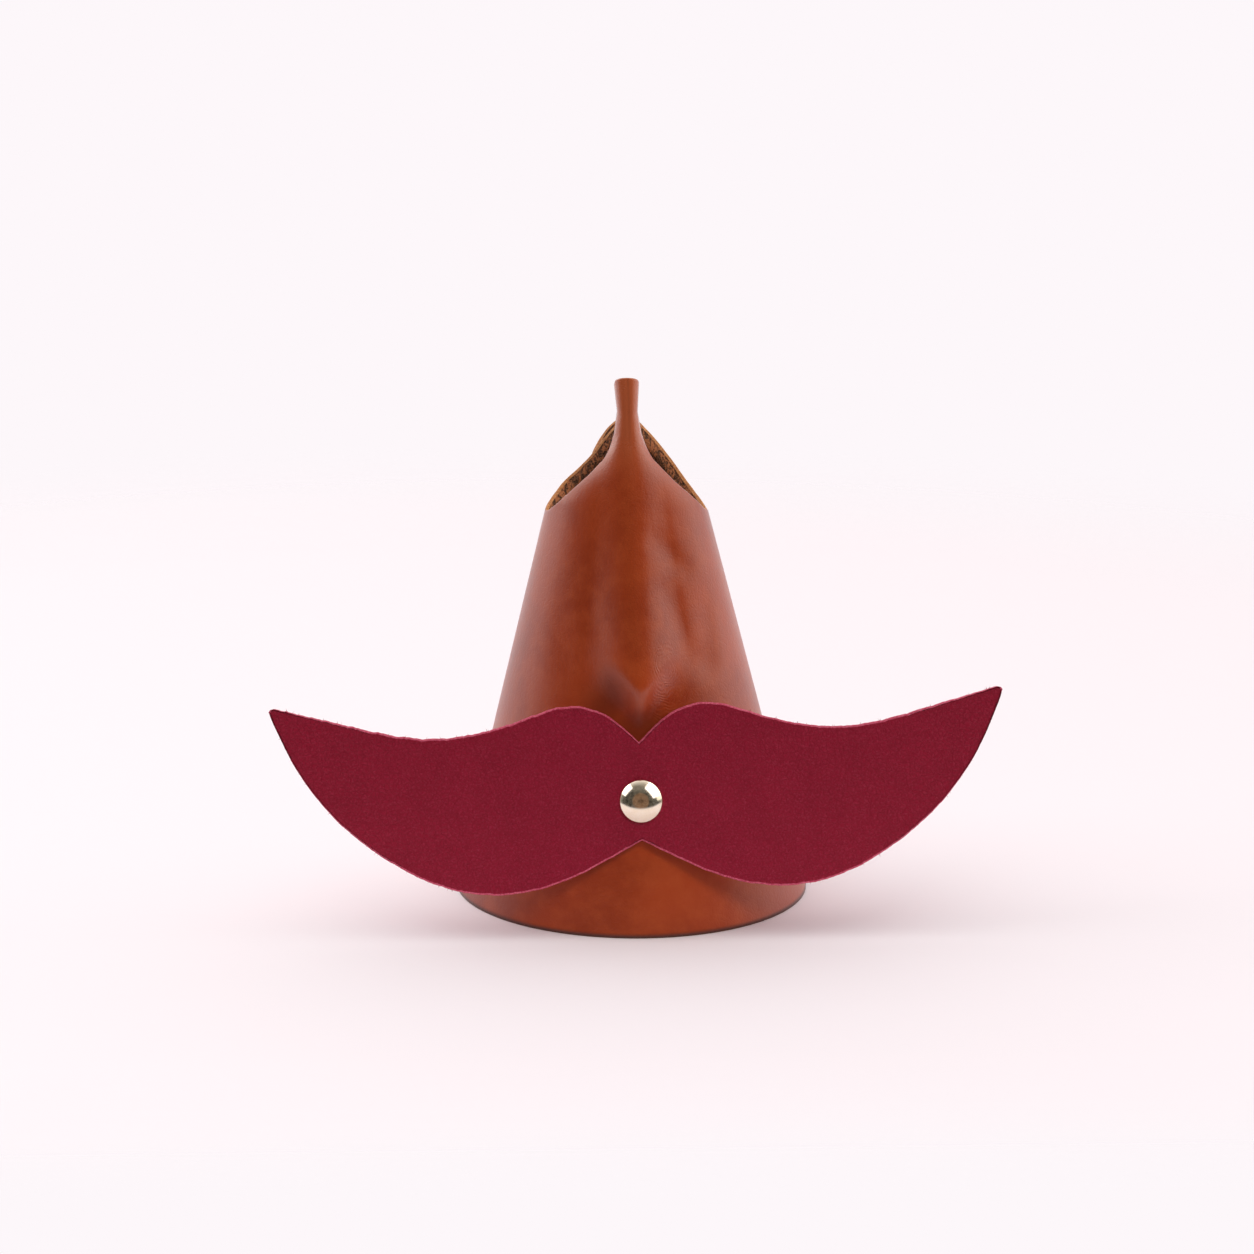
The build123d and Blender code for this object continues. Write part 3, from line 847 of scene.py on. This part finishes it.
rim_top = np.stack([top_x, middle_y + half_y], 1)[::-1]
rim_bottom = np.stack([bottom_x, middle_y - half_y], 1)
tufts = [torn_fibres(rim_top, 130, 21, 0.55), torn_fibres(rim_bottom, 150, 22, 0.6)]
fibre_points = np.concatenate([points for points, _ in tufts])
fibre_faces = np.concatenate([tufts[0][1], tufts[1][1] + len(tufts[0][0])])
fibres = put_mesh("moustache_fibres", fibre_points, fibre_faces, [burgundy_back],
                  smooth_shading=False)
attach(fibres, "moustache")


# %% [markdown]
# ## Rivets
# A double-cap rivet is two pressed domes: one has a hollow tube, the other a post that is driven
# into the tube through the leather.  Both are turned profiles, so each is a line of radii and
# heights carried round its axis.  The plating is pale gold with faint hairlines from handling.

# %% Finish of the rivets
GOLD = (0.92, 0.79, 0.61)
GOLD_PALE = (0.98, 0.88, 0.74)
GOLD_DULL = (0.45, 0.38, 0.28)


def pale_gold():
    """Plating with a thin uneven film, specks of dust and upright hairlines."""
    finish = Finish("pale_gold", Metallic=1.0)
    film = finish.noise(1.6, 4.0, 0.65)
    dust = finish.noise(0.22, 2.0, 0.6)
    scratches = finish.noise(0.12, 2.0, 0.5, stretch=(1, 1, 0.06))
    tone = finish.mix(film.step(0.3, 0.75), GOLD, GOLD_PALE)
    tone = finish.mix(dust.step(0.66, 0.8) * 0.35, tone, GOLD_DULL)
    surface = finish.bump(film + scratches * 0.15, 0.02, 0.35)
    return finish.wear(Base_Color=tone, Roughness=0.06 + dust * 0.12 + film * 0.05, Normal=surface)


gold = pale_gold()
print("finish", gold.material.name, len(gold.tree.nodes), "nodes")


# %% [markdown]
# ## The rivets, turned
# Caps and tubes are made on a press and are exactly round, so a profile carried round an axis is
# all they need.  The grip is the leather between two caps, a little less than its loose thickness,
# because a set rivet squeezes it.

# %% The rivets, turned
CAP_RADIUS, CAP_RISE, CAP_RIM = 4.0, 2.2, 0.5
TUBE_RADIUS, TUBE_BORE, POST_RADIUS = 1.5, 1.05, 1.02


def cap_profile(stem):
    """(radius, height) from the crown over the dome, round the rim, and under to the stem."""
    rise = CAP_RISE - CAP_RIM
    sphere = (CAP_RADIUS ** 2 + rise ** 2) / (2 * rise)
    tilt = np.linspace(0, asin(CAP_RADIUS / sphere) * 0.985, 22)
    dome = np.stack([sphere * np.sin(tilt), CAP_RISE - sphere * (1 - np.cos(tilt))], 1)
    turn = np.radians([30, 5, -25, -60, -90])
    rim = np.stack([CAP_RADIUS - 0.22 + 0.22 * np.cos(turn), 0.22 + 0.22 * np.sin(turn)], 1)
    return np.concatenate([dome, rim, stem])


def turned(name, profile, plane, segments=96):
    """The profile carried round the plane's axis, closed by one point at each end."""
    origin, outward = plane
    up = np.array([0, 0, 1.0])
    right = np.cross(up, outward)
    right /= np.linalg.norm(right)
    other = np.cross(outward, right)
    turn = np.linspace(0, 2 * pi, segments, endpoint=False)
    spokes = np.outer(np.cos(turn), right) + np.outer(np.sin(turn), other)
    body = profile[1:-1]
    rings = origin + body[:, :1, None] * spokes + body[:, 1:, None] * outward
    poles = origin + profile[[0, -1], 1:] * outward
    index = np.arange(len(body) * segments).reshape(len(body), segments)
    closed = np.concatenate([index, index[:, :1]], 1)
    faces = quads_of(closed)[..., ::-1].reshape(-1, 4).tolist()
    crown, foot = len(body) * segments, len(body) * segments + 1
    faces += [[crown, a, b] for a, b in zip(closed[0, :-1], closed[0, 1:])]
    faces += [[foot, b, a] for a, b in zip(closed[-1, :-1], closed[-1, 1:])]
    piece = put_mesh(name, np.concatenate([rings.reshape(-1, 3), poles]), faces, [gold])
    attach(piece, "stand")
    return piece


def rivet(names, nodes, outer_plane, grip):
    """Cap with a tube from outside, and cap with a post from inside."""
    origin, outward = outer_plane
    lip = TUBE_BORE + 0.1
    tube = [(TUBE_RADIUS, 0), (TUBE_RADIUS, -grip + 0.1), (TUBE_RADIUS - 0.1, -grip), (lip, -grip),
            (TUBE_BORE, -grip + 0.1), (TUBE_BORE, -0.01), (0, -0.01)]
    post = [(POST_RADIUS, 0), (POST_RADIUS, -grip + 0.25), (POST_RADIUS - 0.15, -grip + 0.05),
            (0, -grip + 0.05)]
    inner_plane = (origin - grip * outward, -outward)
    for name, node, stem, plane in zip(names, nodes, (tube, post), (outer_plane, inner_plane)):
        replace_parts(turned(name, cap_profile(stem), plane), node)


rivet(("front_rivet_cap", "front_rivet_post"), ("moustache_rivet_cap", "moustache_rivet_post"),
      cap_plane(PIVOT_HEIGHT, -1, -(0.05 + LEATHER + STANDOFF)), FRONT_GRIP)
for number, seam in enumerate(SEAM_HEIGHTS, 1):
    names = (f"rear_rivet_cap_{number}", f"rear_rivet_post_{number}")
    nodes = (f"seam_rivet_cap_{number}", f"seam_rivet_post_{number}")
    rivet(names, nodes, cap_plane(seam, 1, 0.3), SEAM_GRIP)


# %% [markdown]
# ## Table and studio
# The table is a plain pale sheet that fades out into the background, so no edge shows.

# %% The table
BACKGROUND = (0.982, 0.930, 0.957)
TABLE_COLOUR = (0.96, 0.90, 0.93)


def table_finish():
    """Matte, and clearer with the distance from the stand and towards the camera."""
    finish = Finish("pale_table", Roughness=0.9)
    finish.shader.inputs["Specular IOR Level"].default_value = 0.0
    x, y, z = finish.axes(finish.place)
    far = (x * x + (y - 60) * (y - 60)) ** 0.5
    shown = (1 - far.step(230, 420)) * y.step(-150, -95)
    clear = finish.add("ShaderNodeBsdfTransparent")
    card = Field(finish, finish.shader.outputs[0])
    both = finish.add("ShaderNodeMixShader", None, {0: shown, 1: clear, 2: card})
    finish.tree.links.new(both.socket, finish.tree.nodes["Material Output"].inputs["Surface"])
    finish.shader.inputs["Base Color"].default_value = (*TABLE_COLOUR, 1)
    return finish


corners = np.array([(-600.0, -300, 0), (600, -300, 0), (600, 600, 0), (-600, 600, 0)])
table = put_mesh("table", corners, np.array([[0, 1, 2, 3]]), [table_finish()])


# %% [markdown]
# ## The room
# Polished metal mirrors the whole room, so the room has to have something in it: pale behind the
# stand, dim and speckled in front, with a warm patch where the camera stands.  The camera itself
# sees only the plain background.

# %% The room
def room():
    """World colour by direction; the camera's own rays get the background instead."""
    world = bpy.data.worlds.new("room")
    bpy.context.scene.world = world
    world.use_nodes = True
    nodes = Nodes(world.node_tree)
    light = world.node_tree.nodes["Background"]
    towards = nodes.add("ShaderNodeTexCoord", output="Generated")
    x, y, z = nodes.axes(towards)
    behind = y.step(-0.35, 0.35)
    overhead = z.step(0.55, 1.0)
    speckle = nodes.add("ShaderNodeTexNoise", None, {"Vector": towards, "Scale": 7.0, "Detail": 5.0,
                                                     "Roughness": 0.7})
    gloom = 0.16 * speckle.step(0.35, 0.7) + 0.015
    brightness = gloom + 0.98 * behind + 0.15 * overhead
    tint = nodes.mix(behind, (0.9, 0.85, 0.75), (1.0, 0.96, 0.98))
    facing = y * -0.97 + z * 0.23
    lens = facing.step(0.83, 0.87) * (1 - behind)
    tint = nodes.mix(lens, tint, (1.0, 0.62, 0.42))
    brightness = brightness + lens * 0.13 - facing.step(0.98, 0.99) * 0.1
    seen = nodes.add("ShaderNodeLightPath", output="Is Camera Ray")
    shade = nodes.mix(seen, tint, BACKGROUND)
    strength = seen + (1 - seen) * brightness
    nodes.tree.links.new(shade.socket, light.inputs["Color"])
    nodes.tree.links.new(strength.socket, light.inputs["Strength"])


room()
print("room", bpy.context.scene.world.name)


# %% [markdown]
# ## Lights
# One box on each side gives the leather its two soft highlights, and a small one fills the front.
# The rivet and the table have boxes of their own, linked to them alone, because a box bright enough
# for the rivet's highlights would wash out the leather, and the table would lose its paleness.

# %% The soft boxes
def soft_box(name, aside, elevation, distance, width, height, brightness, glossy=True,
             colour=(1, 1, 1)):
    """A glowing rectangle that faces the stand: aside degrees round from the camera's side, to
    the right if positive.  Its power is brightness x area x pi."""
    light = bpy.data.lights.new(name, "AREA")
    light.shape, light.size, light.size_y = "RECTANGLE", width, height
    light.energy = brightness * width * height * pi
    light.color = colour
    box = bpy.data.objects.new(name, light)
    bpy.context.scene.collection.objects.link(box)
    a, e = radians(aside), radians(elevation)
    towards = Vector((sin(a) * cos(e), -cos(a) * cos(e), sin(e)))
    box.location = Vector((0, 0, 0.05)) + distance * towards
    box.rotation_euler = towards.to_track_quat("Z", "Y").to_euler()
    box.visible_glossy = glossy
    return box


on_leather = bpy.data.collections.new("lit_from_the_right")
for piece in bpy.data.objects:
    if piece.type == "MESH" and piece != table:
        on_leather.objects.link(piece)
on_table = bpy.data.collections.new("lit_from_above")
on_table.objects.link(table)
for box in (soft_box("left_soft_box", -122, 28, 1.8, 1.3, 1.3, 1.7, colour=(1, 0.98, 0.92)),
            soft_box("right_soft_box", 92, 32, 1.8, 1.8, 1.9, 1.0, colour=(1, 0.97, 0.84)),
            soft_box("front_fill", 16, 42, 1.8, 0.6, 0.6, 10.5, glossy=False)):
    box.light_linking.receiver_collection = on_leather
on_rivet = bpy.data.collections.new("lit_for_the_rivet")
on_rivet.objects.link(bpy.data.objects["front_rivet_cap"])
for box in (soft_box("left_strip", -82, 40, 1.8, 1.0, 1.2, 2.4),
            soft_box("right_strip", 70, 42, 1.8, 1.3, 1.6, 2.4)):
    box.light_linking.receiver_collection = on_rivet
for box in (soft_box("table_light", -40, 78, 2.6, 3.2, 3.2, 1.2, glossy=False),
            soft_box("table_side_light", -95, 34, 1.8, 1.25, 1.25, 1.1, glossy=False)):
    box.light_linking.receiver_collection = on_table

# %% [markdown]
# ## Camera
# A long lens from a little above, slightly to the left of the nose, and not quite level.

# %% The camera
CAMERA_DISTANCE = 600
camera = bpy.data.objects.new("camera", bpy.data.cameras.new("camera"))
bpy.context.scene.collection.objects.link(camera)
camera.data.sensor_width, camera.data.lens = 36, 90.6
camera.data.clip_start, camera.data.clip_end = 0.02, 20
aside, elevation = radians(-3.0), radians(13.47)
away = Vector((sin(aside) * cos(elevation), -cos(aside) * cos(elevation), sin(elevation)))
camera.location = (Vector((-1.3, 0, 50.7)) + CAMERA_DISTANCE * away) * MM
roll = Quaternion((0, 0, 1), radians(0.55))
camera.rotation_euler = (away.to_track_quat("Z", "Y") @ roll).to_euler()
bpy.context.scene.camera = camera
bpy.context.scene.view_settings.view_transform = "Standard"
